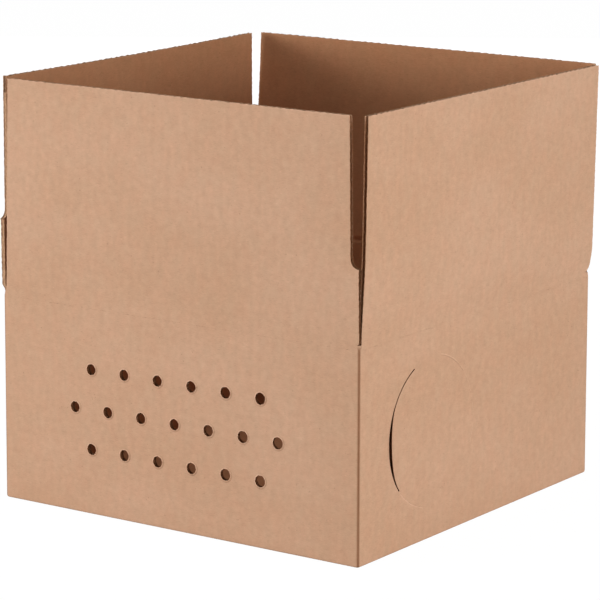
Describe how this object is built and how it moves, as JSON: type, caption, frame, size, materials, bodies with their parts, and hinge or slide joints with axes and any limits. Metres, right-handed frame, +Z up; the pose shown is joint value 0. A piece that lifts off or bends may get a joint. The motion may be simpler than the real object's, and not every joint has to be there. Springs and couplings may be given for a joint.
{
  "type": "corrugated bird carrier box",
  "caption": "Square corrugated box with hinged top flaps, round air holes in one side and a round knock-out in the next, for carrying small birds.",
  "frame": {"origin": "middle of the base, on the floor", "axes": "+Z up; the panel with the air holes faces -Y; the panel with the round knock-out faces +X"},
  "size_m": [0.3139, 0.3119, 0.3048],
  "materials": {
    "kraft_board": "matt, unbleached kraft"
  },
  "bodies": {
    "box": {"box_body": "kraft_board"},
    "front_flap": {"front_flap": "kraft_board"},
    "back_flap": {"back_flap": "kraft_board"},
    "left_flap": {"left_flap": "kraft_board"},
    "right_flap": {"right_flap": "kraft_board"}
  },
  "joints": [
    {"name": "front_flap_fold", "type": "hinge", "parent": "box", "child": "front_flap", "pos_m": [0, -0.152, 0.1524], "axis": [-1, 0, 0], "range_deg": [-170, 90]},
    {"name": "back_flap_fold", "type": "hinge", "parent": "box", "child": "back_flap", "pos_m": [0, 0.152, 0.1524], "axis": [1, 0, 0], "range_deg": [-167, 93]},
    {"name": "left_flap_fold", "type": "hinge", "parent": "box", "child": "left_flap", "pos_m": [-0.1525, 0, 0.1524], "axis": [0, 1, 0], "range_deg": [-150, 90.2]},
    {"name": "right_flap_fold", "type": "hinge", "parent": "box", "child": "right_flap", "pos_m": [0.1525, 0, 0.1524], "axis": [0, -1, 0], "range_deg": [-150, 90.8]}
  ]
}
